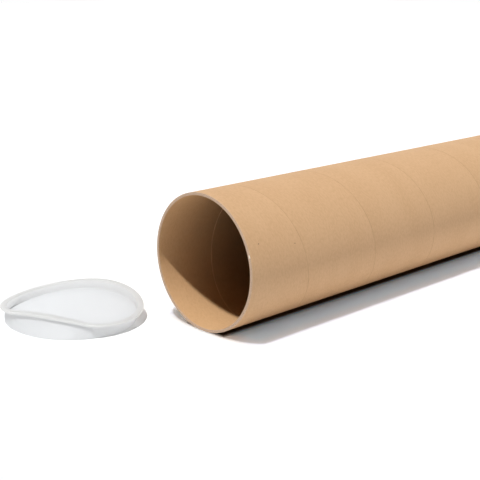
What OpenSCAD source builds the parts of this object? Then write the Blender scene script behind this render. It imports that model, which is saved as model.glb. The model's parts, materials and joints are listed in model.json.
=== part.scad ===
// Spirally wound cardboard mailing tube, lying on its side with its mouth open.
// One plastic end cap is pushed into the far end. The other lies loose and bent on the floor beside the mouth.
// The tube's axis is X and the origin is the centre of its open mouth.
// The fitted cap's flange is wider than the tube, so the floor meets the mouth's lowest point and the flange's,
// and leans from the tube's axis by rest_lean. The loose cap stands on that floor.

/* [Tube] */
// Inside diameter, the standard size that the caps are made for
tube_inner_diameter = 152.4; // [90:0.1:240]
// Thickness of the wound wall
tube_wall = 3.175; // [2:0.005:6]
// Length
tube_length = 914.4; // [400:0.1:1500]

/* [Seam of the outer ply] */
// Distance along the tube from one turn of the seam to the next
seam_pitch = 118; // [80:1:200]
// Distance from the mouth at which the seam crosses the +Y side
seam_start = 27; // [0:1:80]
// Width of the gap between the ply's edges
seam_width = 0.6; // [0.4:0.1:1.5]
// Depth of the gap
seam_depth = 0.4; // [0.2:0.05:1]

/* [End caps] */
// Gap all round between the plug and the tube's inside
plug_clearance = 0.1; // [0.05:0.05:0.5]
// Gap between the flange and the tube's end
seat_clearance = 0.1; // [0.05:0.05:0.5]
// How much narrower the plug is at its inner end
plug_taper = 0.8; // [0:0.1:2]
// Height of a cap, from the plug's inner end to the top of its flange
cap_height = 18; // [15:0.5:30]
// Thickness of the plug's wall
cap_wall = 1.6; // [1:0.1:2.5]
// How far the flange stands out past the outside of the tube
flange_overhang = 2.6; // [1:0.1:5]
// Thickness of the flange
flange_thickness = 2.4; // [1.6:0.1:4]
// Thickness of the panel that closes the cap
panel_thickness = 1.4; // [1:0.1:2]
// How deep the panel lies below the top of the flange
panel_recess = 7.6; // [6:0.1:9]
// Radius of the fillet between the panel and the wall
panel_fillet = 1.2; // [0.5:0.1:1.5]
// Rounding of the flange's edges and of the plug's inner end
edge_round = 0.6; // [0.3:0.1:0.7]

/* [Bend of the loose cap] */
// Distance from the mouth's plane to the nearest point of a round flange
loose_ahead = 2; // [1:1:60]
// Distance from the outside of the tube to the centre of the loose cap
loose_aside = 59; // [40:0.1:150]
// Direction in which the rim has been pinched out, in degrees from +X
pinch_dir = -78; // [-180:1:180]
// How far the pinch makes the cap longer one way and narrower the other
pinch = 5; // [0:0.1:7]
// Direction from which the rim has been pushed in, in degrees from +X
dent_dir = -151.5; // [-180:0.5:180]
// How far the rim is pushed in there, which leaves it straight
dent = 24.5; // [1:0.5:30]
// How far the dent makes the rim sink
dent_sink = 2.3; // [0:0.1:4]
// How far the rim rises and falls round the cap
warp = 5.4; // [0:0.1:6]
// Direction in which the rim rises, in degrees from +X
warp_dir = 18; // [-180:1:180]
// How far the rim has slipped over the plug
slip = 5.5; // [0:0.1:6]
// Direction in which the rim has slipped, in degrees from +X
slip_dir = 29; // [-180:1:180]
// How far the edge of the panel dips inside the dent's end
panel_dip = 4.5; // [0:0.1:4.5]
// Direction in which the panel dips, in degrees from +X
panel_dip_dir = 122; // [-180:1:180]

/* [Hidden] */

kraft = "#C99F78";
plastic = "#EEF0F0";

tube_bore_r = tube_inner_diameter / 2;
tube_r = tube_bore_r + tube_wall;

plug_r = tube_bore_r - plug_clearance;
plug_inner_r = plug_r - cap_wall;
plug_end_r = plug_r - plug_taper;
flange_r = tube_r + flange_overhang;
flange_z = cap_height - flange_thickness;
panel_top = cap_height - panel_recess;
panel_z = panel_top - panel_thickness;

rest_lean = atan(flange_overhang / (tube_length + seat_clearance));

// The cutter that opens the seam stands this far out past the tube's surface and its ends
cutter_margin = 0.4;
seam_step = 5;
cap_stations = 96;
fillet_steps = 3;
// Angle at which the fillet under the panel leaves the plug's leaning wall
fillet_start = 30;
// How softly the rim turns into the dent at its two ends
dent_softness = 1.5;
// How sharply the dip of the panel is kept to one side
dip_sharpness = 2;

// Points of a quarter arc from angle a1 to a2 about [r, z]
function arc(r, z, radius, a1, a2) = [
    for (i = [0:fillet_steps])
        let (a = a1 + (a2 - a1) * i / fillet_steps)
        [r + radius * cos(a), z + radius * sin(a)]
];

// Half section of a cap as [radius, height], from the middle of the panel's upper face,
// out over the flange, down the plug and back to the middle of the panel's lower face
function cap_section() = concat(
    [for (share = [0, 0.4, 0.8]) [share * plug_inner_r, panel_top]],
    arc(plug_inner_r - panel_fillet, panel_top + panel_fillet, panel_fillet, -90, 0),
    arc(plug_inner_r + edge_round, cap_height - edge_round, edge_round, 180, 90),
    arc(flange_r - edge_round, cap_height - edge_round, edge_round, 90, 0),
    arc(flange_r - edge_round, flange_z + edge_round, edge_round, 0, -90),
    [[plug_r, flange_z], [plug_r, panel_top]],
    arc(plug_end_r - edge_round, edge_round, edge_round, 0, -90),
    [[plug_end_r - cap_wall, 0], [plug_inner_r, panel_z - panel_fillet]],
    arc(plug_inner_r - panel_fillet, panel_z - panel_fillet, panel_fillet, fillet_start, 90),
    [for (share = [0.8, 0.4, 0]) [share * plug_inner_r, panel_z]]
);

// Step of length 1 in direction a, seen from above
function heading(a) = [cos(a), sin(a)];

// How far the panel's edge dips in direction a, fading to nothing at its middle and at the wall's ends
function panel_drop(r, z, a) =
    let (at_panel = r > plug_inner_r + 0.01 || z < panel_z - panel_fillet - 0.01 || z > panel_top + panel_fillet ? 0 : 1)
    at_panel * panel_dip * pow(r / plug_inner_r, 2) * exp(dip_sharpness * (cos(a - panel_dip_dir) - 1));

// Place of the section's point [r, z] in direction a on the bent cap: the plug's end stays flat on the floor,
// and the bends grow with the height up to the rim
function bent(r, z, a) =
    let (
        up = z / cap_height,
        edge = min(1, pow(r / plug_inner_r, 2)),
        outward = (1 + pinch / plug_r * cos(2 * (a - pinch_dir))) * heading(a),
        rim = plug_r * outward + slip * heading(slip_dir),
        past = rim * heading(dent_dir) - (plug_r - dent),
        pushed = edge * up * (past + sqrt(past * past + dent_softness * dent_softness)) / 2,
        place = r * outward + up * slip * heading(slip_dir) - pushed * heading(dent_dir),
        rise = up * (edge * warp * cos(2 * (a - warp_dir)) - dent_sink * pushed / dent)
    )
    [place[0], place[1], z + rise - panel_drop(r, z, a)];

// Triangles that join ring i of a loft with stations points a ring to ring i + 1
function band(i, stations) = [
    for (j = [0:stations - 1])
        let (k = (j + 1) % stations, a = i * stations + j, b = i * stations + k)
        each [[a, b, b + stations], [a, b + stations, a + stations]]
];

// Triangles that close ring i of a loft onto the point numbered tip
function fan(i, stations, tip, flip) = [
    for (j = [0:stations - 1])
        let (k = (j + 1) % stations, a = i * stations + j, b = i * stations + k)
        flip ? [tip, b, a] : [tip, a, b]
];

// Closed helical bar that cuts the seam's gap out of the tube
module seam_cutter() {
    inner = tube_r - seam_depth;
    outer = tube_r + cutter_margin;
    first = -(seam_start + cutter_margin + seam_width) * 360 / seam_pitch;
    last = (tube_length - seam_start + cutter_margin + seam_width) * 360 / seam_pitch;
    steps = ceil((last - first) / seam_step);
    section = [[inner, -seam_width / 2], [inner, seam_width / 2], [outer, seam_width / 2], [outer, -seam_width / 2]];
    corners = len(section);
    points = [
        for (i = [0:steps], c = section)
            let (a = first + (last - first) * i / steps)
            [seam_start + seam_pitch * a / 360 + c[1], c[0] * cos(a), c[0] * sin(a)]
    ];
    last_ring = steps * corners;
    polyhedron(points, concat(
        [for (i = [0:steps - 1]) each band(i, corners)],
        [[0, 2, 1], [0, 3, 2]],
        [[last_ring, last_ring + 1, last_ring + 2], [last_ring, last_ring + 2, last_ring + 3]]
    ));
}

module tube() {
    color(kraft)
        difference() {
            rotate([0, 90, 0])
                difference() {
                    cylinder(h = tube_length, r = tube_r);
                    translate([0, 0, -1])
                        cylinder(h = tube_length + 2, r = tube_bore_r);
                }
            seam_cutter();
        }
}

// A cap as moulded, standing on its plug's end with its axis on Z
module round_cap() {
    rotate_extrude()
        polygon(cap_section());
}

// A cap bent out of shape, standing on its plug's end
module bent_cap() {
    section = cap_section();
    rings = len(section) - 2;
    points = concat(
        [for (i = [1:rings], j = [0:cap_stations - 1]) bent(section[i][0], section[i][1], j * 360 / cap_stations)],
        [bent(0, panel_top, 0), bent(0, panel_z, 0)]
    );
    top_tip = rings * cap_stations;
    polyhedron(points, concat(
        [for (i = [0:rings - 2]) each band(i, cap_stations)],
        fan(0, cap_stations, top_tip, true),
        fan(rings - 1, cap_stations, top_tip + 1, false)
    ));
}

module fitted_cap() {
    color(plastic)
        translate([tube_length + seat_clearance - flange_z, 0, 0])
            rotate([0, 90, 0])
                round_cap();
}

module loose_cap() {
    color(plastic)
        translate([0, 0, -tube_r])
            rotate([0, rest_lean, 0])
                translate([-flange_r - loose_ahead, tube_r + loose_aside, 0])
                    bent_cap();
}

tube();
fitted_cap();
loose_cap();
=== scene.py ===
"""Looks of a spirally wound cardboard mailing tube with two plastic end caps, one of them bent and loose.

The tube's axis is X and the origin is the centre of its open mouth. The floor meets the mouth's lowest
point and that of the fitted cap's wider flange, so it leans a little from the axis. Lengths are in metres.
An angle round the tube is 0 at +Y and a quarter turn at +Z.
"""

import json
import math

import bmesh
import bpy
import numpy as np
from mathutils import Euler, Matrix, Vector, noise


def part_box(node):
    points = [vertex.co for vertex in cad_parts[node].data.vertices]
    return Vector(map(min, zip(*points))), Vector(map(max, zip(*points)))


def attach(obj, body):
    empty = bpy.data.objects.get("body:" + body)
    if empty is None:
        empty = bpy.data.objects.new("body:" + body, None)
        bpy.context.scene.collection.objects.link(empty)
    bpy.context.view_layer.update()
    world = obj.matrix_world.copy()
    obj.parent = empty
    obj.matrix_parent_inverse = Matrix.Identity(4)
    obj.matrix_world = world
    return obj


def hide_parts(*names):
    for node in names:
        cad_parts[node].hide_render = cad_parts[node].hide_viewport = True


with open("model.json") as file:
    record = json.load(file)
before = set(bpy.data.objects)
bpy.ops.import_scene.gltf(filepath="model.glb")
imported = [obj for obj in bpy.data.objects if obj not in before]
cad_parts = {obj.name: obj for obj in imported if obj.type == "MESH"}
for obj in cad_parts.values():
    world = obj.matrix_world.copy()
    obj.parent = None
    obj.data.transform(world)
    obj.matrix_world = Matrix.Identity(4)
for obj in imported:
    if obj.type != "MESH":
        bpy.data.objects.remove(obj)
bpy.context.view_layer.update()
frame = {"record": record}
MM = 0.001

# Sizes of the tube, from the frame
MOUNTS = {mount["name"]: mount for mount in frame["record"]["mounts"]}
TUBE_R = MOUNTS["tube_outside"]["dims"]["r_mm"] * MM
TUBE_LENGTH = MOUNTS["tube_outside"]["dims"]["length_mm"] * MM
TUBE_WALL = 2 * (TUBE_R - MOUNTS["mouth_end_face"]["pos_m"][2])
BORE_R = TUBE_R - TUBE_WALL

# Winding of the plies. A seam is a groove, and the ply's edge on its one side stands a little proud
SEAM_PITCH = 118 * MM
OUTER_SEAM_START = 27 * MM
OUTER_SEAM_WIDTH = 0.5 * MM
OUTER_SEAM_DEPTH = 0.1 * MM
INNER_SEAM_START = 84.5 * MM
INNER_SEAM_WIDTH = 0.5 * MM
INNER_SEAM_DEPTH = 0.08 * MM
# Share of a groove's width that each of its sloped sides takes
SEAM_SLOPE = 0.1
PLY_EDGE_LIFT = 0.02 * MM
PLY_EDGE_REACH = 3 * MM
WALL_PLIES = 6

# The cut ends: points of the rim's rounding as (share of its size in from the wall's side, share back
# from the end, share of the raggedness), and the small steps from ply to ply
RIM_ROUND = 0.3 * MM
RIM_POINTS = ((0.08, 0.45, 0.0), (0.35, 0.12, 0.3), (1.0, 0.0, 0.8))
RIM_RAGGED = 0.09 * MM
RAGGED_WAVES = 90
RAGGED_SEED_STEP = 7.3
# How close to a cut a vertex counts as lying on it, while it is cut and once it has been
CUT_SNAP = 1e-7
CUT_TOLERANCE = 1e-6
PLY_STEP_SHARE = 0.12
PLY_STEP_BACK = 0.02 * MM
PLY_STEP_RAGGED = 0.8
PLY_LINE_BACK = 0.09 * MM
PLY_LINE_RAGGED = 0.4

# The tube's mesh: stations round it, the longest step between its rows, the angle in degrees from which an
# edge is sharp, and its material slots
OUTSIDE_STATIONS = 144
OUTSIDE_ROW_STEP = 8 * MM
INSIDE_STATIONS = 96
INSIDE_ROW_STEP = 12 * MM
MOUTH_STATIONS = 720
FAR_END_STATIONS = 240
TUBE_SHARP_ANGLE = 40
OUTSIDE, INSIDE, CUT = range(3)

# Marks that the photograph shows: specks as (distance from the mouth, angle round the tube in degrees,
# radius), with a soft edge in shares of that radius
OUTER_SPECKS = ((16.7 * MM, 155.0, 0.8 * MM), (69.1 * MM, 161.8, 0.7 * MM))
SPECK_EDGE = (0.4, 1.4)
SPECK_COLOR = (0.16, 0.08, 0.03)
SPECK_SHARE = 0.75
# The nick in the outer plies of the mouth, whose torn colour fades between two depths, in shares of the wall
NICK_ANGLE = 162.9
NICK_WIDTH = 2.2 * MM
NICK_DEPTH = 0.5 * MM
NICKED_PLIES = 2
NICK_COLOR = (0.93, 0.86, 0.77)
NICK_FADE = (0.6, 0.3)

# The kraft paper of each side: its colours, how far from the ply's edge the seam's line shows, its gloss,
# and the share of painted shade, a dark colour that stands in for the light falling off deep inside the tube
OUTSIDE_PAPER = {
    "base": (0.64, 0.397, 0.212),
    "pale": (0.685, 0.435, 0.24),
    "dark": (0.59, 0.355, 0.183),
    "seam": (0.47, 0.275, 0.14),
    "seam_reach": 0.5 * MM,
    "gloss": 0.45,
    "shade": 0.0,
}
INSIDE_PAPER = {
    "base": (0.65, 0.405, 0.212),
    "pale": (0.685, 0.433, 0.233),
    "dark": (0.607, 0.372, 0.188),
    "seam": (0.74, 0.5, 0.32),
    "seam_reach": 0.8 * MM,
    "gloss": 0.0,
    "shade": 0.6,
}
# Painted shade deep inside the tube: its dark colour, and how far in from the mouth it grows to full
SHADE_COLOR = (0.1, 0.05, 0.02)
SHADE_REACH = 135 * MM
# Share of the base colour that is mixed over the pale and dark clouds
BASE_SHARE = 0.5

# Patterns on the unrolled ply, as (cells to the metre along it, across it, detail, roughness)
CLOUDS = (14, 30, 3.0, 0.5)
MOTTLE = (220, 420, 3.0, 0.75)
FIBRES = (160, 1100, 3.0, 0.6)
SEAM_WEAR = (25, 25, 2.0, 0.5)
# Patterns that are alike in all directions, as (cells to the metre, detail, roughness)
GRAIN = (1500, 3.0, 0.65)
PULP = (900, 4.0, 0.7)
FROST = (2200, 2.0, 0.5)
SHEEN = (60, 2.0, 0.5)

# Smooth steps from a pattern's value to a share or a roughness, as (from, to, first, last), where the
# last two are 0 and 1 if they aren't given
CLOUD_STEP = (0.3, 0.7)
MOTTLE_PALE_STEP = (0.42, 0.66, 0.0, 0.7)
MOTTLE_DARK_STEP = (0.34, 0.52, 0.7, 0.0)
FIBRE_STEP = (0.25, 0.75, 0.0, 0.14)
GRAIN_STEP = (0.3, 0.7, 0.0, 0.16)
WORN_STEP = (0.2, 0.6)
SEAM_WEAR_STEP = (0.35, 0.65, 0.4, 1.0)
PULP_STEP = (0.3, 0.7)
PLY_LINE_STEP = (0.05, 0.2, 0.45, 0.0)
PAPER_ROUGHNESS_STEP = (0.2, 0.8, 0.66, 0.8)
SHEEN_STEP = (0.3, 0.7, 0.37, 0.43)

# Flecks in the paper: a cell holds one if its random number is above the choice, with a soft edge between
# two distances in shares of a cell
FLECK_SCALE = 110
FLECK_CHOICE = 0.9
FLECK_STEP = (0.02, 0.06, 0.35, 0.0)
FLECK_COLOR = (0.2, 0.1, 0.05)

# The cut board, and how far and how strongly the paper is worn pale along the mouth's edge
PULP_DARK = (0.56, 0.38, 0.255)
PULP_PALE = (0.76, 0.57, 0.43)
PULP_ROUGHNESS = 0.95
PULP_GLOSS = 0.15
PLY_LINE_COLOR = (0.3, 0.2, 0.13)
WORN_EDGE = 2.5 * MM
WORN_SHARE = 0.35
# How far the seam's line stays full, in shares of its reach, and how strong it is there
SEAM_CORE = 0.3
SEAM_SHARE = 0.9

# Bumps of the surfaces, as (strength, depth), and how much fibres and grain add to the paper's
PAPER_BUMP = (0.12, 0.1 * MM)
PULP_BUMP = (0.5, 0.15 * MM)
FROST_BUMP = (0.08, 0.05 * MM)
FIBRE_HEIGHT = 0.6
GRAIN_HEIGHT = 0.4

# The end caps
PLUG_CLEARANCE = 0.1 * MM
PLUG_R = BORE_R - PLUG_CLEARANCE
PLUG_TAPER = 0.8 * MM
PLUG_END_R = PLUG_R - PLUG_TAPER
CAP_HEIGHT = 18 * MM
CAP_WALL = 1.6 * MM
PLUG_INNER_R = PLUG_R - CAP_WALL
FLANGE_OVERHANG = 2.6 * MM
FLANGE_R = TUBE_R + FLANGE_OVERHANG
FLANGE_SEAT = 0.1 * MM
FLANGE_THICKNESS = 2.4 * MM
FLANGE_UNDERSIDE = CAP_HEIGHT - FLANGE_THICKNESS
FLANGE_FILLET = 0.4 * MM
PANEL_THICKNESS = 1.4 * MM
PANEL_RECESS = 7.6 * MM
PANEL_TOP = CAP_HEIGHT - PANEL_RECESS
PANEL_UNDERSIDE = PANEL_TOP - PANEL_THICKNESS
PANEL_FILLET = 1.2 * MM
EDGE_ROUND = 0.6 * MM
# The wall's top point starts the fillet under the panel, and its arc goes on from this angle, in degrees
UNDERSIDE_FILLET_START = 30
# The caps' meshes: the panel's rings in shares of its radius, the longest step between the rows of a wall,
# stations round each cap, and the angle in degrees from which an edge is sharp
PANEL_RINGS = (0.03, 0.15, 0.3, 0.45, 0.6, 0.75, 0.87, 0.94)
CAP_ROW_STEP = 2 * MM
BENT_CAP_STATIONS = 288
ROUND_CAP_STATIONS = 192
CAP_SHARP_ANGLE = 50

# Their plastic, in their walls and in their thick flanges, which are all that lies past a radius or above
# the flange's underside
PLASTIC_COLOR = (0.885, 0.89, 0.895)
THICK_PLASTIC_COLOR = (0.845, 0.845, 0.84)
THICK_FROM_R = PLUG_R + 0.2 * MM
# Share of light that it lets through. The fitted cap has the dark tube behind it, so its own white counts more
LYING_THROUGH = 0.7
PLUGGED_THROUGH = 0.3
PLASTIC_IOR = 1.45

# Place of the loose cap and its bend, with directions in degrees from +X
LOOSE_AHEAD = 2 * MM
LOOSE_ASIDE = 59 * MM
PINCH, PINCH_DIR = 5 * MM, -78
DENT, DENT_DIR = 24.5 * MM, -151.5
DENT_SINK = 2.3 * MM
DENT_SOFTNESS = 1.5 * MM
WARP, WARP_DIR = 5.4 * MM, 18
SLIP, SLIP_DIR = 5.5 * MM, 29
PANEL_DIP, PANEL_DIP_DIR = 4.5 * MM, 122
DIP_SHARPNESS = 2

# The photograph's camera
CAMERA_PLACE = (-674.2 * MM, -771.0 * MM, 308.1 * MM)
CAMERA_YAW = 46.48
CAMERA_PITCH = 15.38
FOCAL_LENGTH_PX = 965.8
PHOTO_WIDTH_PX = 480
SENSOR_WIDTH_MM = 36

# Light: a key lamp, and round soft lights in a dim sky as (degrees round from +X, degrees up, strength),
# each at full strength within its core and gone at its edge, in degrees from its middle
SUN_TRAVEL = (0.346, 0.03, -1)
SUN_STRENGTH = 3.03
SUN_ANGLE = 3
SOFT_LIGHTS = ((258, 52, 1.1), (315, 37, 1.3), (275, 10, 1.0), (20, 15, 1.6))
SOFT_LIGHT_CORE = 8
SOFT_LIGHT_EDGE = 22
SKY_STRENGTH = 0.02

# The floor. Its own face and the glow from under it have a colour before the mouth, one past the mouth and
# one close beside the tube, which is a blue tint painted to cancel the brown light that the tube throws into
# its shadow. The gap under the tube has a painted shadow, one dark colour for both.
FLOOR_HALF = 12
FLOOR_LEAN = math.atan(FLANGE_OVERHANG / (TUBE_LENGTH + FLANGE_SEAT))
FLOOR_BOUNCE = (0.97, 0.97, 0.97)
FLOOR_FACE = {"before": (0.92, 0.93, 0.94), "past": (0.14, 0.14, 0.14), "beside": (0.185, 0.38, 0.80)}
FLOOR_GLOW = {"before": (0.05, 0.05, 0.05), "past": (0.99, 0.99, 0.99), "beside": (0.78, 0.97, 1.0)}
FLOOR_GLOW_REACH = 60 * MM
# Painted shadow in the narrow gap under the tube
FLOOR_GAP_PAINTED_SHADOW = (0.03, 0.018, 0.01)
# Where these colours change, along the tube and out from under its axis
PAST_MOUTH = (-20 * MM, 5 * MM)
BESIDE_START = (0, 30 * MM)
BESIDE_END = (TUBE_LENGTH - 50 * MM, TUBE_LENGTH)
BESIDE_SIDE = (0.7 * TUBE_R, 1.15 * TUBE_R)
# Where the painted shadow of the gap starts and ends along the tube, and how far out from under its axis it
# fades
GAP_START = (0, 8 * MM)
GAP_END = (TUBE_LENGTH - 20 * MM, TUBE_LENGTH)
GAP_SIDE = (25 * MM, 36 * MM)


class Nodes:
    """Short calls that build the node tree of a material or of the world."""

    def __init__(self, owner):
        owner.use_nodes = True
        self.owner = owner
        self.tree = owner.node_tree
        self.tree.nodes.clear()

    def put(self, socket, value):
        """Links an input to another node's output, or sets it to a plain value."""
        if isinstance(value, bpy.types.NodeSocket):
            self.tree.links.new(value, socket)
        else:
            socket.default_value = value

    def add(self, kind, sockets=None, **properties):
        """A node with its properties, and its inputs by name or by number."""
        node = self.tree.nodes.new(kind)
        for key, value in properties.items():
            setattr(node, key, value)
        for key, value in (sockets or {}).items():
            self.put(node.inputs[key], value)
        return node

    def math(self, operation, *values):
        return self.add("ShaderNodeMath", dict(enumerate(values)), operation=operation).outputs[0]

    def mix(self, factor, first, second):
        """Mix of two colours, each a socket or an (r, g, b)."""
        node = self.add("ShaderNodeMix", {"Factor": factor}, data_type="RGBA")
        for key, value in (("A", first), ("B", second)):
            socket = [s for s in node.inputs if s.name == key and s.type == "RGBA"][0]
            self.put(socket, value if isinstance(value, bpy.types.NodeSocket) else (*value, 1))
        return [s for s in node.outputs if s.type == "RGBA"][0]

    def span(self, value, low, high, to_low=0.0, to_high=1.0):
        """Smooth step of a value from one range to another."""
        sockets = {"Value": value, "From Min": low, "From Max": high, "To Min": to_low, "To Max": to_high}
        return self.add("ShaderNodeMapRange", sockets, interpolation_type="SMOOTHSTEP").outputs[0]

    def noise(self, vector, scale, detail, roughness):
        sockets = {"Vector": vector, "Scale": scale, "Detail": detail, "Roughness": roughness}
        return self.add("ShaderNodeTexNoise", sockets).outputs["Fac"]

    def stretched_noise(self, vector, x_scale, y_scale, detail, roughness):
        """Noise with its own scale along each of the vector's first two directions."""
        sockets = {0: vector, 1: (x_scale, y_scale, 1)}
        stretched = self.add("ShaderNodeVectorMath", sockets, operation="MULTIPLY").outputs[0]
        return self.noise(stretched, 1.0, detail, roughness)

    def bump(self, height, strength, depth):
        sockets = {"Strength": strength, "Distance": depth, "Height": height}
        return self.add("ShaderNodeBump", sockets).outputs[0]

    def blend(self, factor, first, second):
        """Mix of two shaders, each given as its node."""
        sockets = {0: factor, 1: first.outputs[0], 2: second.outputs[0]}
        return self.add("ShaderNodeMixShader", sockets)

    def finish(self, shader, output="ShaderNodeOutputMaterial"):
        """The material or world, with the given shader node as its surface."""
        self.add(output, {"Surface": shader.outputs[0]})
        return self.owner


def tube_place(n):
    """A point's place, the place's separate coordinates, and the angle round the tube, in radians."""
    place = n.add("ShaderNodeTexCoord").outputs["Object"]
    split = n.add("ShaderNodeSeparateXYZ", {"Vector": place}).outputs
    return place, split, n.math("ARCTAN2", split["Z"], split["Y"])


def ply_place(n, along_tube, angle, radius, seam_start):
    """Vector of a point's place on the unrolled ply, and its distance from the nearest edge of the ply."""
    lean = math.atan(SEAM_PITCH / (2 * math.pi * radius))
    ply_width = SEAM_PITCH * math.cos(lean)
    turn = n.math("DIVIDE", angle, 2 * math.pi)
    turns = n.math("SUBTRACT", n.math("DIVIDE", n.math("SUBTRACT", along_tube, seam_start), SEAM_PITCH), turn)
    whole_turns = n.math("MULTIPLY", n.math("FLOOR", turns), 2 * math.pi)
    share = n.math("FRACT", turns)
    around = n.math("MULTIPLY", n.math("ADD", angle, whole_turns), radius)
    around_part = n.math("MULTIPLY", around, math.cos(lean))
    along_part = n.math("MULTIPLY", along_tube, math.sin(lean))
    along = n.math("ADD", around_part, along_part)
    across = n.math("MULTIPLY", share, ply_width)
    vector = n.add("ShaderNodeCombineXYZ", {"X": along, "Y": across}).outputs[0]
    edge = n.math("MULTIPLY", n.math("MINIMUM", share, n.math("SUBTRACT", 1.0, share)), ply_width)
    return vector, edge


def speck_mask(n, along_tube, angle, speck):
    """1 on a speck of the tube's outside and 0 off it."""
    distance, degrees, size = speck
    dx = n.math("SUBTRACT", along_tube, distance)
    dy = n.math("MULTIPLY", n.math("SUBTRACT", angle, math.radians(degrees)), TUBE_R)
    gap = n.math("SQRT", n.math("ADD", n.math("MULTIPLY", dx, dx), n.math("MULTIPLY", dy, dy)))
    return n.span(gap, *(share * size for share in SPECK_EDGE), 1.0, 0.0)


def fleck_share(n, vector):
    """Share of their colour in the few small flecks that are scattered over the ply, and 0 elsewhere."""
    cells = n.add("ShaderNodeTexVoronoi", {"Vector": vector, "Scale": FLECK_SCALE}, feature="F1").outputs
    number = n.add("ShaderNodeSeparateColor", {"Color": cells["Color"]}).outputs[0]
    chosen = n.math("GREATER_THAN", number, FLECK_CHOICE)
    return n.math("MULTIPLY", chosen, n.span(cells["Distance"], *FLECK_STEP))


def kraft_paper(name, radius, seam_start, paper, specks=()):
    """Smooth brown paper wound in a spiral: clouds, mottling, fibres, grain, flecks, specks, the seam and
    painted shade.
    """
    n = Nodes(bpy.data.materials.new(name))
    place, split, angle = tube_place(n)
    along_tube = split["X"]
    vector, edge = ply_place(n, along_tube, angle, radius, seam_start)
    clouds = n.stretched_noise(vector, *CLOUDS)
    mottle = n.stretched_noise(vector, *MOTTLE)
    fibres = n.stretched_noise(vector, *FIBRES)
    grain = n.noise(place, *GRAIN)

    color = n.mix(n.span(clouds, *CLOUD_STEP), paper["dark"], paper["pale"])
    color = n.mix(BASE_SHARE, color, paper["base"])
    color = n.mix(n.span(mottle, *MOTTLE_PALE_STEP), color, paper["pale"])
    color = n.mix(n.span(mottle, *MOTTLE_DARK_STEP), color, paper["dark"])
    color = n.mix(n.span(fibres, *FIBRE_STEP), color, paper["dark"])
    color = n.mix(n.span(grain, *GRAIN_STEP), color, paper["pale"])
    color = n.mix(fleck_share(n, vector), color, FLECK_COLOR)
    # Painted shade: the paper darkens further from the mouth, standing in for the light that falls off inside
    color = n.mix(n.span(along_tube, 0.0, SHADE_REACH, 0.0, paper["shade"]), color, SHADE_COLOR)
    for speck in specks:
        mask = speck_mask(n, along_tube, angle, speck)
        color = n.mix(n.math("MULTIPLY", mask, SPECK_SHARE), color, SPECK_COLOR)
    worn = n.span(along_tube, 0.0, WORN_EDGE, WORN_SHARE, 0.0)
    color = n.mix(n.math("MULTIPLY", worn, n.span(grain, *WORN_STEP)), color, PULP_PALE)
    seam_line = n.span(edge, SEAM_CORE * paper["seam_reach"], paper["seam_reach"], SEAM_SHARE, 0.0)
    seam_wear = n.span(n.stretched_noise(vector, *SEAM_WEAR), *SEAM_WEAR_STEP)
    color = n.mix(n.math("MULTIPLY", seam_line, seam_wear), color, paper["seam"])

    height = n.math("ADD", n.math("MULTIPLY", fibres, FIBRE_HEIGHT), n.math("MULTIPLY", grain, GRAIN_HEIGHT))
    return n.finish(n.add("ShaderNodeBsdfPrincipled", {
        "Base Color": color,
        "Roughness": n.span(fibres, *PAPER_ROUGHNESS_STEP),
        "Specular IOR Level": paper["gloss"],
        "Normal": n.bump(height, *PAPER_BUMP),
    }))


def cut_board():
    """The saw-cut end of the wall: pale grey-brown pulp with the line of each ply, and the torn nick."""
    n = Nodes(bpy.data.materials.new("cut_board"))
    place, split, angle = tube_place(n)
    squares = [n.math("MULTIPLY", split[k], split[k]) for k in ("Y", "Z")]
    radius = n.math("SQRT", n.math("ADD", *squares))
    plies = n.math("MULTIPLY", n.math("SUBTRACT", radius, BORE_R), WALL_PLIES / TUBE_WALL)
    share = n.math("FRACT", plies)
    line = n.math("MINIMUM", share, n.math("SUBTRACT", 1.0, share))
    pulp = n.noise(place, *PULP)
    color = n.mix(n.span(pulp, *PULP_STEP), PULP_DARK, PULP_PALE)
    color = n.mix(n.span(line, *PLY_LINE_STEP), color, PLY_LINE_COLOR)
    from_nick = n.math("MULTIPLY", n.math("SUBTRACT", angle, math.radians(NICK_ANGLE)), TUBE_R)
    along_nick = n.span(n.math("ABSOLUTE", from_nick), 0.5 * NICK_WIDTH, NICK_WIDTH, 1.0, 0.0)
    torn_plies = n.span(radius, *(TUBE_R - depth * TUBE_WALL for depth in NICK_FADE))
    color = n.mix(n.math("MULTIPLY", along_nick, torn_plies), color, NICK_COLOR)
    return n.finish(n.add("ShaderNodeBsdfPrincipled", {
        "Base Color": color,
        "Roughness": PULP_ROUGHNESS,
        "Specular IOR Level": PULP_GLOSS,
        "Normal": n.bump(pulp, *PULP_BUMP),
    }))


def milky_plastic(name, through_share):
    """Frosted polyethylene that lets a share of the light through, and is duller where it is thick."""
    n = Nodes(bpy.data.materials.new(name))
    place = n.add("ShaderNodeTexCoord").outputs["Object"]
    thick = n.add("ShaderNodeAttribute", attribute_name="thick").outputs["Fac"]
    color = n.mix(thick, PLASTIC_COLOR, THICK_PLASTIC_COLOR)
    surface = n.add("ShaderNodeBsdfPrincipled", {
        "Base Color": color,
        "Roughness": n.span(n.noise(place, *SHEEN), *SHEEN_STEP),
        "IOR": PLASTIC_IOR,
        "Normal": n.bump(n.noise(place, *FROST), *FROST_BUMP),
    })
    through = n.add("ShaderNodeBsdfTranslucent", {"Color": color})
    return n.finish(n.blend(through_share, surface, through))


def link(name, data):
    """An object of the given mesh, lamp or camera, in the scene."""
    made = bpy.data.objects.new(name, data)
    bpy.context.scene.collection.objects.link(made)
    return made


def mesh_object(name, vertices, faces, material):
    """A mesh object with smooth faces of one material."""
    data = bpy.data.meshes.new(name)
    data.from_pydata(vertices, [], faces)
    data.materials.append(material)
    data.shade_smooth()
    data.update()
    return link(name, data)


def even_steps(start, end, largest_step):
    """Values from start to end in even steps, none larger than the given one."""
    count = max(1, math.ceil((end - start) / largest_step))
    return [start + (end - start) * i / count for i in range(count + 1)]


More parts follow.
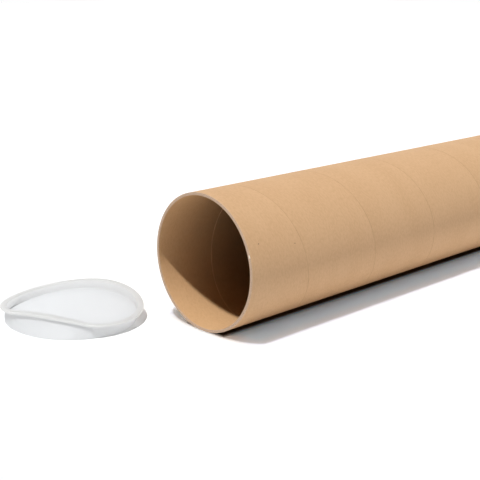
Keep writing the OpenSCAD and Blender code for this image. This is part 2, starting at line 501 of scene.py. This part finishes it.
def wound_surface(mesh, radius, side, seam_start, gap, depth, stations, row_step, material):
    """Adds one side of the wall as a grid that follows the ply, its seam a groove, cut square at both ends.

    The side is 1 for the outside and -1 for the inside.
    """
    slope = SEAM_SLOPE * gap
    rows = [(-gap / 2, 0), (-gap / 2 + slope, -depth), (gap / 2 - slope, -depth), (gap / 2, PLY_EDGE_LIFT)]
    rows += [(gap / 2 + PLY_EDGE_REACH / 3, PLY_EDGE_LIFT / 3)]
    rows += [(x, 0) for x in even_steps(gap / 2 + PLY_EDGE_REACH, SEAM_PITCH - gap / 2, row_step)[:-1]]
    count = len(rows)
    # The grid starts before the mouth and ends past the far end, so that the cuts below trim it all round
    first = math.floor((-2 * SEAM_PITCH - seam_start) / SEAM_PITCH * stations)
    last = math.ceil((TUBE_LENGTH + SEAM_PITCH - seam_start) / SEAM_PITCH * stations)
    offsets, heights = np.array(rows).T
    theta = np.arange(first, last + stations + 1) * 2 * math.pi / stations
    x = seam_start + SEAM_PITCH * theta[:, None] / (2 * math.pi) + offsets[None, :]
    r = radius + side * heights[None, :] + 0 * x
    places = np.stack([x, r * np.cos(theta)[:, None], r * np.sin(theta)[:, None]], -1).reshape(-1, 3)
    added = [mesh.verts.new(place) for place in places]

    def vertex(station, row):
        """The row past the last one is the first row of the next turn."""
        return added[station * count + row] if row < count else added[(station + stations) * count]

    faces = []
    for i in range(last - first):
        for m in range(count):
            corners = [vertex(i, m), vertex(i + 1, m), vertex(i + 1, m + 1), vertex(i, m + 1)]
            face = mesh.faces.new(corners if side > 0 else corners[::-1])
            face.material_index = material
            faces.append(face)
    for spare in [v for v in added if not v.link_faces]:
        mesh.verts.remove(spare)
    for end, direction in ((RIM_ROUND, -1), (TUBE_LENGTH - RIM_ROUND, 1)):
        live = [f for f in faces if f.is_valid]
        parts = list({v for f in live for v in f.verts}) + list({e for f in live for e in f.edges}) + live
        place, normal = (end, 0, 0), (direction, 0, 0)
        cut = bmesh.ops.bisect_plane(
            mesh, geom=parts, dist=CUT_SNAP, plane_co=place, plane_no=normal, clear_outer=True
        )
        faces = [g for g in cut["geom"] if isinstance(g, bmesh.types.BMFace) and g.is_valid]
    return faces


def ring_angle(vertex):
    return math.atan2(vertex.co.z, vertex.co.y)


def zip_rings(mesh, first, second, material):
    """Joins two closed rings of any number of vertices by triangles, in order of their angles."""
    first, second = sorted(first, key=ring_angle), sorted(second, key=ring_angle)

    def angle_after(ring, i):
        return ring_angle(ring[i + 1]) if i + 1 < len(ring) else ring_angle(ring[0]) + 2 * math.pi

    i = j = 0
    while i < len(first) or j < len(second):
        a, b = first[i % len(first)], second[j % len(second)]
        if j >= len(second) or (i < len(first) and angle_after(first, i) <= angle_after(second, j)):
            face = mesh.faces.new((a, first[(i + 1) % len(first)], b))
            i += 1
        else:
            face = mesh.faces.new((a, second[(j + 1) % len(second)], b))
            j += 1
        face.material_index = material


def rim_profile():
    """Points of the cut end from the outside in, as (radius, back from the end, raggedness, in the nick)."""
    rounding = [(inset * RIM_ROUND, back * RIM_ROUND, ragged) for inset, back, ragged in RIM_POINTS]
    profile = [(TUBE_R - inset, back, ragged, True) for inset, back, ragged in rounding]
    ply = TUBE_WALL / WALL_PLIES
    for j in range(WALL_PLIES, 0, -1):
        outer, inner = BORE_R + j * ply, BORE_R + (j - 1) * ply
        nicked = j > WALL_PLIES - NICKED_PLIES
        if j < WALL_PLIES:
            profile.append((outer - PLY_STEP_SHARE * ply, PLY_STEP_BACK, PLY_STEP_RAGGED, nicked))
        profile.append(((outer + inner) / 2, 0.0, 1.0, nicked))
        if j > 1:
            profile.append((inner + PLY_STEP_SHARE * ply, PLY_STEP_BACK, PLY_STEP_RAGGED, False))
            profile.append((inner, PLY_LINE_BACK, PLY_LINE_RAGGED, False))
    profile += [(BORE_R + inset, back, ragged, False) for inset, back, ragged in reversed(rounding)]
    return profile


def cut_end(mesh, outer_faces, inner_faces, end_x, inward, stations):
    """Closes the wall at one end with a rounded rim, the steps of the plies, ragged fibres and the nick.

    The nick is only in the mouth, where inward is 1; at the far end it is -1.
    """
    plane = end_x + inward * RIM_ROUND

    def boundary(faces):
        edges = {e for f in faces if f.is_valid for e in f.edges if e.is_boundary}
        return list({v for e in edges for v in e.verts if abs(v.co.x - plane) < CUT_TOLERANCE})

    def ring(radius, back, ragged, nicked, seed):
        made = []
        for i in range(stations):
            angle = 2 * math.pi * i / stations - math.pi
            y, z = math.cos(angle), math.sin(angle)
            wander = noise.noise(Vector((y * RAGGED_WAVES, z * RAGGED_WAVES, seed)))
            depth = back + ragged * RIM_RAGGED * (0.5 + 0.5 * wander)
            if nicked and inward > 0:
                aside = math.radians((math.degrees(angle) - NICK_ANGLE + 180) % 360 - 180) * TUBE_R
                depth += NICK_DEPTH * math.exp(-((aside / (0.5 * NICK_WIDTH)) ** 2))
            made.append(mesh.verts.new((end_x + inward * depth, radius * y, radius * z)))
        return made

    rings = [boundary(outer_faces)]
    rings += [ring(*point, RAGGED_SEED_STEP * k) for k, point in enumerate(rim_profile())]
    rings.append(boundary(inner_faces))
    for first, second in zip(rings, rings[1:]):
        zip_rings(mesh, first, second, CUT)


def make_tube():
    outside = kraft_paper("kraft_outside", TUBE_R, OUTER_SEAM_START, OUTSIDE_PAPER, OUTER_SPECKS)
    inside = kraft_paper("kraft_inside", BORE_R, INNER_SEAM_START, INSIDE_PAPER)
    outer_seam = (OUTER_SEAM_START, OUTER_SEAM_WIDTH, OUTER_SEAM_DEPTH)
    inner_seam = (INNER_SEAM_START, INNER_SEAM_WIDTH, INNER_SEAM_DEPTH)
    mesh = bmesh.new()
    outer = wound_surface(mesh, TUBE_R, 1, *outer_seam, OUTSIDE_STATIONS, OUTSIDE_ROW_STEP, OUTSIDE)
    inner = wound_surface(mesh, BORE_R, -1, *inner_seam, INSIDE_STATIONS, INSIDE_ROW_STEP, INSIDE)
    cut_end(mesh, outer, inner, 0.0, 1, MOUTH_STATIONS)
    cut_end(mesh, outer, inner, TUBE_LENGTH, -1, FAR_END_STATIONS)
    bmesh.ops.recalc_face_normals(mesh, faces=mesh.faces)
    data = bpy.data.meshes.new("board_tube")
    mesh.to_mesh(data)
    mesh.free()
    for material in (outside, inside, cut_board()):
        data.materials.append(material)
    data.shade_smooth()
    data.set_sharp_from_angle(angle=math.radians(TUBE_SHARP_ANGLE))
    made = link("board_tube", data)
    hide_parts("tube")
    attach(made, "tube_and_loose_cap")


def arc(center, radius, start, end, steps):
    """Points of an arc as (radius, height), its angles in degrees."""
    angles = np.radians(np.linspace(start, end, steps + 1))
    return [(center[0] + radius * math.cos(a), center[1] + radius * math.sin(a)) for a in angles]


def inner_steps(low, high):
    """Heights of a wall's rows between its two ends, from the lowest up."""
    return even_steps(low, high, CAP_ROW_STEP)[1:-1]


def cap_section():
    """Half section of a cap as (radius, height): panel's top, flange, plug, panel's underside."""
    fillet_top = PANEL_TOP + PANEL_FILLET
    points = [(share * PLUG_INNER_R, PANEL_TOP) for share in PANEL_RINGS]
    points += arc((PLUG_INNER_R - PANEL_FILLET, fillet_top), PANEL_FILLET, -90, 0, 6)
    points += [(PLUG_INNER_R, z) for z in inner_steps(fillet_top, CAP_HEIGHT - EDGE_ROUND)]
    points += arc((PLUG_INNER_R + EDGE_ROUND, CAP_HEIGHT - EDGE_ROUND), EDGE_ROUND, 180, 90, 5)
    points += arc((FLANGE_R - EDGE_ROUND, CAP_HEIGHT - EDGE_ROUND), EDGE_ROUND, 90, 0, 5)
    points += arc((FLANGE_R - EDGE_ROUND, FLANGE_UNDERSIDE + EDGE_ROUND), EDGE_ROUND, 0, -90, 5)
    wall_end = FLANGE_UNDERSIDE - FLANGE_FILLET
    points += arc((PLUG_R + FLANGE_FILLET, wall_end), FLANGE_FILLET, 90, 180, 3)
    points += [(PLUG_R, z) for z in reversed(inner_steps(PANEL_TOP, wall_end))]
    points += [(PLUG_R, PANEL_TOP)]
    taper = PLUG_TAPER / (PANEL_TOP - EDGE_ROUND)
    for z in reversed(inner_steps(EDGE_ROUND, PANEL_TOP)):
        points.append((PLUG_R - taper * (PANEL_TOP - z), z))
    points += arc((PLUG_END_R - EDGE_ROUND, EDGE_ROUND), EDGE_ROUND, 0, -90, 5)
    underside_fillet = PANEL_UNDERSIDE - PANEL_FILLET
    for z in even_steps(0, underside_fillet, CAP_ROW_STEP):
        points.append((PLUG_END_R - CAP_WALL + PLUG_TAPER * z / underside_fillet, z))
    center = (PLUG_INNER_R - PANEL_FILLET, underside_fillet)
    points += arc(center, PANEL_FILLET, UNDERSIDE_FILLET_START, 90, 5)
    points += [(share * PLUG_INNER_R, PANEL_UNDERSIDE) for share in reversed(PANEL_RINGS)]
    return np.array(points)


def heading(degrees):
    return np.array([math.cos(math.radians(degrees)), math.sin(math.radians(degrees))])


def as_moulded(r, z, angle):
    """Places of the section's points (r, z) at their angles on a cap that isn't bent."""
    return np.stack([r * np.cos(angle), r * np.sin(angle), z], -1)


def bent(r, z, angle):
    """Places of the section's points (r, z) at their angles on the bent cap, whose plug's end stays flat."""
    up = z / CAP_HEIGHT
    edge = np.minimum(1, (r / PLUG_INNER_R) ** 2)
    longer = 1 + PINCH / PLUG_R * np.cos(2 * (angle - math.radians(PINCH_DIR)))
    outward = longer[..., None] * np.stack([np.cos(angle), np.sin(angle)], -1)
    rim = PLUG_R * outward + SLIP * heading(SLIP_DIR)
    past = rim @ heading(DENT_DIR) - (PLUG_R - DENT)
    pushed = edge * up * (past + np.sqrt(past**2 + DENT_SOFTNESS**2)) / 2
    place = r[..., None] * outward + (up * SLIP)[..., None] * heading(SLIP_DIR)
    place = place - pushed[..., None] * heading(DENT_DIR)
    rise = up * (edge * WARP * np.cos(2 * (angle - math.radians(WARP_DIR))) - DENT_SINK * pushed / DENT)
    margin = 0.01 * MM
    above = z > PANEL_UNDERSIDE - PANEL_FILLET - margin
    at_panel = (r < PLUG_INNER_R + margin) & above & (z <= PANEL_TOP + PANEL_FILLET)
    side = np.exp(DIP_SHARPNESS * (np.cos(angle - math.radians(PANEL_DIP_DIR)) - 1))
    drop = at_panel * PANEL_DIP * (r / PLUG_INNER_R) ** 2 * side
    return np.concatenate([place, (z + rise - drop)[..., None]], -1)


def make_cap(name, node, body, material, stations, shape, place):
    """A cap as a loft of its section, whose points go through a shape function and then one for its place."""
    section = cap_section()
    angle = np.arange(stations) * 2 * math.pi / stations
    r, a = np.meshgrid(section[:, 0], angle, indexing="ij")
    z = np.broadcast_to(section[:, 1][:, None], r.shape)
    points = shape(r, z, a)
    middles = [points[0].mean(0), points[-1].mean(0)]
    vertices = [tuple(place(p)) for p in [*points.reshape(-1, 3), *middles]]
    last = (len(section) - 1) * stations
    top, bottom = last + stations, last + stations + 1
    faces = []
    for low in range(0, last, stations):
        high = low + stations
        for j in range(stations):
            k = (j + 1) % stations
            faces.append((low + j, low + k, high + k, high + j))
    for j in range(stations):
        k = (j + 1) % stations
        faces.append((top, k, j))
        faces.append((bottom, last + j, last + k))
    made = mesh_object(name, vertices, faces, material)
    in_flange = (r > THICK_FROM_R) | (z > FLANGE_UNDERSIDE)
    thick = made.data.attributes.new("thick", "FLOAT", "POINT")
    thick.data.foreach_set("value", [*in_flange.reshape(-1).astype(float), 0.0, 0.0])
    mesh = bmesh.new()
    mesh.from_mesh(made.data)
    bmesh.ops.recalc_face_normals(mesh, faces=mesh.faces)
    mesh.to_mesh(made.data)
    mesh.free()
    made.data.set_sharp_from_angle(angle=math.radians(CAP_SHARP_ANGLE))
    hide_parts(node)
    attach(made, body)


def make_caps():
    lying = milky_plastic("milky_plastic", LYING_THROUGH)
    plugged = milky_plastic("milky_plastic_plug", PLUGGED_THROUGH)
    lean = Euler((0, FLOOR_LEAN, 0)).to_matrix()
    beside_mouth = Vector((-FLANGE_R - LOOSE_AHEAD, TUBE_R + LOOSE_ASIDE, 0))
    floor_level = Vector((0, 0, -TUBE_R))
    turn = Euler((0, math.pi / 2, 0)).to_matrix()
    outer_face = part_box("fitted_cap")[1].x
    plug_end = Vector((outer_face - CAP_HEIGHT, 0, 0))

    def on_floor(point):
        return lean @ (Vector(point) + beside_mouth) + floor_level

    def in_far_end(point):
        return turn @ Vector(point) + plug_end

    make_cap("bent_cap", "loose_cap", "tube_and_loose_cap", lying, BENT_CAP_STATIONS, bent, on_floor)
    make_cap("round_cap", "fitted_cap", "fitted_cap", plugged, ROUND_CAP_STATIONS, as_moulded, in_far_end)


def floor_material():
    """Smooth white acrylic, plain before the mouth and lit from under its face past it.

    To the camera the light under the face softens the shadow's edge. A blue tint painted beside the tube
    keeps its shadow neutral, although the tube throws brown light there, and a painted shadow darkens the
    narrow gap under the tube.
    """
    n = Nodes(bpy.data.materials.new("floor"))
    place = n.add("ShaderNodeTexCoord").outputs["Object"]
    split = n.add("ShaderNodeSeparateXYZ", {"Vector": place}).outputs
    along, across = split["X"], n.math("ABSOLUTE", split["Y"])
    past_mouth = n.span(along, *PAST_MOUTH)
    # Blue tint painted beside the tube, which cancels the brown light that the tube throws into its shadow
    before_end = n.math("MULTIPLY", n.span(along, *BESIDE_START), n.span(along, *BESIDE_END, 1.0, 0.0))
    beside = n.math("MULTIPLY", n.span(across, *BESIDE_SIDE, 1.0, 0.0), before_end)
    # Painted shadow: in the narrow gap under the tube, between its ends, the floor takes one dark colour
    past_ends = n.math("MAXIMUM", n.span(along, *GAP_START, 1.0, 0.0), n.span(along, *GAP_END))
    out_of_painted_gap_shadow = n.math("MAXIMUM", n.span(across, *GAP_SIDE), past_ends)

    def color(colors):
        along_tube = n.mix(beside, colors["past"], colors["beside"])
        return n.mix(out_of_painted_gap_shadow, FLOOR_GAP_PAINTED_SHADOW, n.mix(past_mouth, colors["before"], along_tube))

    bounce = n.add("ShaderNodeBsdfDiffuse", {"Color": (*FLOOR_BOUNCE, 1)})
    face = n.add("ShaderNodeBsdfDiffuse", {"Color": color(FLOOR_FACE)})
    sockets = {"Color": color(FLOOR_GLOW), "Scale": FLOOR_GLOW_REACH, "Radius": (1.0, 1.0, 1.0)}
    glow = n.add("ShaderNodeSubsurfaceScattering", sockets, falloff="RANDOM_WALK")
    seen = n.add("ShaderNodeAddShader", {0: face.outputs[0], 1: glow.outputs[0]})
    return n.finish(n.blend(n.add("ShaderNodeLightPath").outputs["Is Camera Ray"], bounce, seen))


def make_floor():
    slope = math.tan(FLOOR_LEAN)
    sides = ((-1, -1), (1, -1), (1, 1), (-1, 1))
    corners = [(x * FLOOR_HALF, y * FLOOR_HALF, -TUBE_R - slope * x * FLOOR_HALF) for x, y in sides]
    floor = mesh_object("floor", corners, [(0, 1, 2, 3)], floor_material())


def make_world():
    """White behind the object for the camera and for gloss, and a dim sky with soft lights for all else."""
    n = Nodes(bpy.data.worlds.new("studio"))
    direction = n.add("ShaderNodeTexCoord").outputs["Generated"]
    light = SKY_STRENGTH
    edge, core = (math.cos(math.radians(a)) for a in (SOFT_LIGHT_EDGE, SOFT_LIGHT_CORE))
    for around, up, strength in SOFT_LIGHTS:
        towards = Euler((0, -math.radians(up), math.radians(around))).to_matrix() @ Vector((1, 0, 0))
        facing = n.add("ShaderNodeVectorMath", {0: direction, 1: towards}, operation="DOT_PRODUCT")
        light = n.math("ADD", light, n.span(facing.outputs["Value"], edge, core, 0.0, strength))
    paths = n.add("ShaderNodeLightPath").outputs
    seen = n.math("MAXIMUM", paths["Is Camera Ray"], paths["Is Transmission Ray"])
    seen = n.math("MAXIMUM", seen, paths["Is Glossy Ray"])
    soft = n.add("ShaderNodeBackground", {"Strength": light})
    white = n.add("ShaderNodeBackground", {"Color": (1, 1, 1, 1)})
    bpy.context.scene.world = n.finish(n.blend(seen, soft, white), "ShaderNodeOutputWorld")


def make_sun():
    lamp = bpy.data.lights.new("key", "SUN")
    lamp.energy = SUN_STRENGTH
    lamp.angle = math.radians(SUN_ANGLE)
    made = link("key", lamp)
    made.rotation_euler = Vector(SUN_TRAVEL).to_track_quat("-Z", "Y").to_euler()


def make_camera():
    data = bpy.data.cameras.new("camera")
    data.sensor_width = SENSOR_WIDTH_MM
    data.lens = SENSOR_WIDTH_MM * FOCAL_LENGTH_PX / PHOTO_WIDTH_PX
    made = link("camera", data)
    made.location = CAMERA_PLACE
    made.rotation_euler = (math.radians(90 - CAMERA_PITCH), 0, math.radians(CAMERA_YAW - 90))
    bpy.context.scene.camera = made


make_camera()
make_world()
make_sun()
make_floor()
make_tube()
make_caps()
bpy.context.scene.view_settings.view_transform = "Standard"
